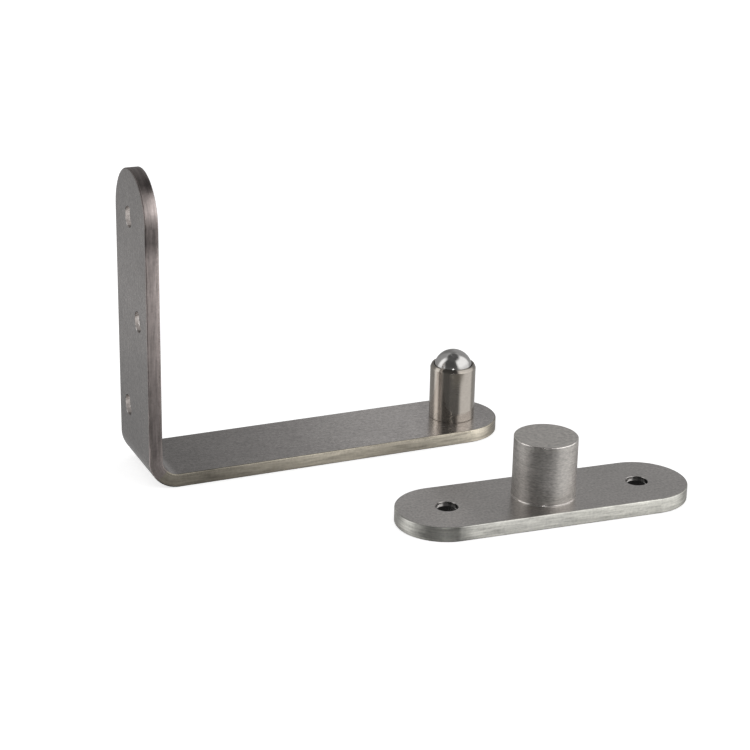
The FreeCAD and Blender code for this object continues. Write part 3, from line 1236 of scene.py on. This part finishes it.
@dataclass(frozen=True)
class Tent:
    """The white tent that only reflections show, with patches painted on it in order."""

    patches: tuple[Patch, ...]
    radius: float = 1.6
    step: float = 2.0

    def build(self, centre: Vector) -> None:
        """Makes the tent.

        Args:
            centre: its middle.
        """
        shell = bmesh.new()
        turns, rises = round(360 / self.step), round(180 / self.step)
        bmesh.ops.create_uvsphere(shell, u_segments=turns, v_segments=rises, radius=self.radius)
        paint = shell.verts.layers.float_color.new(TONE)
        for vertex in shell.verts:
            azimuth = math.degrees(math.atan2(vertex.co.x, -vertex.co.y))
            elevation = math.degrees(math.asin(max(-1.0, min(1.0, vertex.co.z / self.radius))))
            shade = 1.0
            for patch in self.patches:
                shade += (patch.shade - shade) * patch.cover(azimuth, elevation)
            vertex[paint] = (shade, shade, shade, 1.0)
            vertex.co += centre
        mesh = bpy.data.meshes.new("tent")
        shell.to_mesh(mesh)
        shell.free()
        mesh.materials.append(self.material())
        tent = link(mesh)
        for kind in ("camera", "diffuse", "transmission", "volume_scatter", "shadow"):
            setattr(tent, f"visible_{kind}", False)
        tent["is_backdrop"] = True
        log.info("tent: %d patches", len(self.patches))

    def material(self) -> Material:
        """Makes the tent's painted cloth.

        Returns:
            The material.
        """
        material, nodes = new_material("tent")
        paint = nodes.add("ShaderNodeAttribute", settings={"attribute_name": TONE}).outputs["Color"]
        cloth = nodes.add("ShaderNodeEmission", Color=paint, Strength=1.0)
        nodes.add("ShaderNodeOutputMaterial", Surface=cloth)
        return material


@dataclass(frozen=True)
class Lamp:
    """A softbox that looks at the object."""

    name: str
    azimuth: float
    elevation: float = 27.0
    distance: float = 1.1
    width: float = 1.4
    height: float = 0.9
    power: float = 3.6

    def build(self, centre: Vector) -> None:
        """Hangs the lamp round the centre.

        Args:
            centre: the point that it looks at.
        """
        light = bpy.data.lights.new(self.name, "AREA")
        light.shape = "RECTANGLE"
        light.size = self.width
        light.size_y = self.height
        light.energy = self.power
        lamp = link(light)
        lamp.visible_glossy = False
        lamp.matrix_world = facing(centre, self.azimuth, self.elevation, self.distance)
        log.info("lamp: %s", self.name)


@dataclass(frozen=True)
class Camera:
    """The camera at the photograph's viewing angle. Angles are degrees, lengths millimetres."""

    azimuth: float = -24.063
    elevation: float = 20.666
    roll: float = 1.222
    distance: float = 544.98
    aim: Triple = (-26.708, -6.553, 21.450)
    focal_pixels: float = 2013.4
    nearest: float = 10.0
    farthest: float = 20000.0

    def build(self) -> None:
        """Makes the scene's camera."""
        data = bpy.data.cameras.new("camera")
        data.sensor_width = SENSOR_WIDTH
        data.sensor_fit = "HORIZONTAL"
        data.lens = self.focal_pixels * SENSOR_WIDTH / IMAGE_WIDTH
        data.clip_start = self.nearest * MM
        data.clip_end = self.farthest * MM
        camera = link(data)
        aim = Vector(self.aim) * MM
        camera.matrix_world = facing(aim, self.azimuth, self.elevation, self.distance * MM, self.roll)
        bpy.context.scene.camera = camera


def background_rays(nodes: Nodes) -> NodeSocket:
    """Adds the test for the rays that show the white background.

    Args:
        nodes: the tree.

    Returns:
        A socket that is 1 for camera, glossy and transmission rays.
    """
    path = nodes.add("ShaderNodeLightPath").outputs
    seen = nodes.math("MAXIMUM", path["Is Camera Ray"], path["Is Glossy Ray"])
    return nodes.math("MAXIMUM", seen, path["Is Transmission Ray"])


@dataclass(frozen=True)
class Studio:
    """The plain white studio round the object."""

    floor_width: float = 12.0
    floor_glow: float = 0.62
    floor_white: float = 0.8
    ambient: float = 0.5
    lamps: tuple[Lamp, ...] = (Lamp("left_softbox", -110.0), Lamp("right_softbox", 48.0))
    patches: tuple[Patch, ...] = (
        Patch("front", (-77, 15), (-40, 32), 0.17, 8),
        Patch("front_left", (-76, -40), (-40, 32), 0.13, 2),
        Patch("upper_front", (-97, 2), (20, 120), 0.1, 6),
        Patch("ceiling", (-180, 180), (58, 120), 0.13, 6),
        Patch("left_box", (-150, -102), (8, 48), 1.5, 8),
        Patch("right_box", (8, 98), (14, 59), 1.45, 8),
        Patch("back", (98, 232), (-40, 58), 0.43, 6),
        Patch("back_dim", (156, 186), (0, 45), 0.25, 8),
        Patch("back_top", (138, 174), (44, 62), 0.27, 6),
        Patch("side_dim", (180, 226), (-40, 0), 0.35, 8),
        Patch("right_low", (86, 104), (-40, 4), 0.43, 5),
        Patch("left_dim", (-100, -77), (-40, 0), 0.46, 2),
        Patch("left_seam", (-101, -97), (-40, 0), 0.14, 2),
        Patch("left_low", (-131, -102), (-40, 6), 1.18, 4),
        Patch("under", (-180, 180), (-120, -42), 0.02, 4),
        Patch("small_lamp", (-26.5, -21.5), (5.5, 10.5), 13, 1),
    )

    def build(self, low: Vector, high: Vector) -> None:
        """Sets the studio round the object.

        Args:
            low: the object's lowest corner.
            high: the object's highest corner.
        """
        centre = (low + high) / 2
        self.build_world()
        self.build_floor(low.z)
        Tent(self.patches).build(centre)
        for lamp in self.lamps:
            lamp.build(centre)

    def build_world(self) -> None:
        """Makes the world white where it is seen, and a plain soft level where it only lights."""
        world = bpy.data.worlds.new("studio")
        bpy.context.scene.world = world
        world.use_nodes = True
        nodes = Nodes(world.node_tree)
        light = nodes.add("ShaderNodeBackground", Color=WHITE, Strength=self.ambient)
        white = nodes.add("ShaderNodeBackground", Color=WHITE, Strength=1.0)
        mixed = nodes.add("ShaderNodeMixShader", background_rays(nodes), light, white)
        nodes.add("ShaderNodeOutputWorld", Surface=mixed)

    def build_floor(self, height: float) -> None:
        """Lays the floor under the object.

        Args:
            height: the object's lowest point.
        """
        half = self.floor_width / 2
        mesh = bpy.data.meshes.new("floor")
        corners = [(x * half, y * half, height) for x, y in ((-1, -1), (1, -1), (1, 1), (-1, 1))]
        mesh.from_pydata(corners, [], [(0, 1, 2, 3)])
        floor = link(mesh)
        floor.visible_glossy = False
        material, nodes = new_material("white_floor")
        paint = nodes.add("ShaderNodeBsdfDiffuse", Color=(self.floor_white,) * 3 + (1.0,))
        strength = nodes.math("MULTIPLY", background_rays(nodes), self.floor_glow)
        glow = nodes.add("ShaderNodeEmission", Color=WHITE, Strength=strength)
        both = nodes.add("ShaderNodeAddShader", paint, glow)
        nodes.add("ShaderNodeOutputMaterial", Surface=both)
        mesh.materials.append(material)
        floor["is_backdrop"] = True


def facing(
    centre: Vector, azimuth: float, elevation: float, distance: float, roll: float = 0.0
) -> Matrix:
    """The place of a lamp or a camera that looks at a point.

    Args:
        centre: the point.
        azimuth: degrees round Z from the point to the place, 0 at the front and 90 at +X.
        elevation: degrees above the floor.
        distance: how far it is.
        roll: degrees that it is turned about its line of sight.

    Returns:
        The object's matrix.
    """
    turn, rise = math.radians(azimuth), math.radians(elevation)
    flat = math.cos(rise)
    back = Vector((math.sin(turn) * flat, -math.cos(turn) * flat, math.sin(rise)))
    turned = back.to_track_quat("Z", "Y").to_matrix() @ Matrix.Rotation(math.radians(roll), 3, "Z")
    return Matrix.Translation(centre + back * distance) @ turned.to_4x4()


def link(data: ID) -> Object:
    """Puts a mesh, a light or a camera in the scene as an object.

    Args:
        data: what the object shows, which gives its name.

    Returns:
        The object.
    """
    thing = bpy.data.objects.new(data.name, data)
    bpy.context.scene.collection.objects.link(thing)
    return thing


def main() -> None:
    """Builds the scene."""
    logging.basicConfig(level=logging.INFO, format="%(name)s: %(message)s")
    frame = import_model()
    cad_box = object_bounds()
    mounts = {mount["name"]: mount for mount in frame["record"]["mounts"]}
    bracket_half = BracketHalf.from_frame(mounts)
    socket_half = SocketHalf.from_frame(mounts)
    bar = BrushedSteel("brushed_bar", (0.52, 0.493, 0.478), roughness=0.25, mark_depth=0.02 * MM)
    plate = BrushedSteel("brushed_plate", (0.52, 0.497, 0.48), roughness=0.31, mark_depth=0.02 * MM)
    pin = TurnedSteel(
        "polished_pin",
        (0.463, 0.425, 0.38),
        roughness=0.16,
        mark_depth=0.004 * MM,
        speck_swing=0.12,
        # The lip's band is painted darker: painted shade over its burnishing.
        burnished_and_lit=(bracket_half.pin_top,),
        burnished_lit_reach=0.9 * MM,
        painted_light_tone=-0.35,
        burnish_roughness=0.08,
    )
    ball = TurnedSteel(
        "polished_ball",
        (0.56, 0.55, 0.54),
        roughness=0.15,
        mark_depth=0.001 * MM,
        speck_swing=0.05,
    )
    cup = TurnedSteel(
        "turned_cup",
        (0.545, 0.521, 0.494),
        roughness=0.47,
        mark_depth=0.06 * MM,
        axis=tuple(socket_half.axis),
        speck_swing=0.55,
        # The rim and base are painted brighter: painted highlights beside their burnishing.
        burnished_and_lit=socket_half.burnished_and_lit(),
    )
    bracket_half.build(bar, pin, ball)
    socket_half.build(plate, cup)
    Studio().build(*cad_box)
    Camera().build()
    bpy.context.scene.view_settings.view_transform = "Standard"


if __name__ == "__main__":
    main()
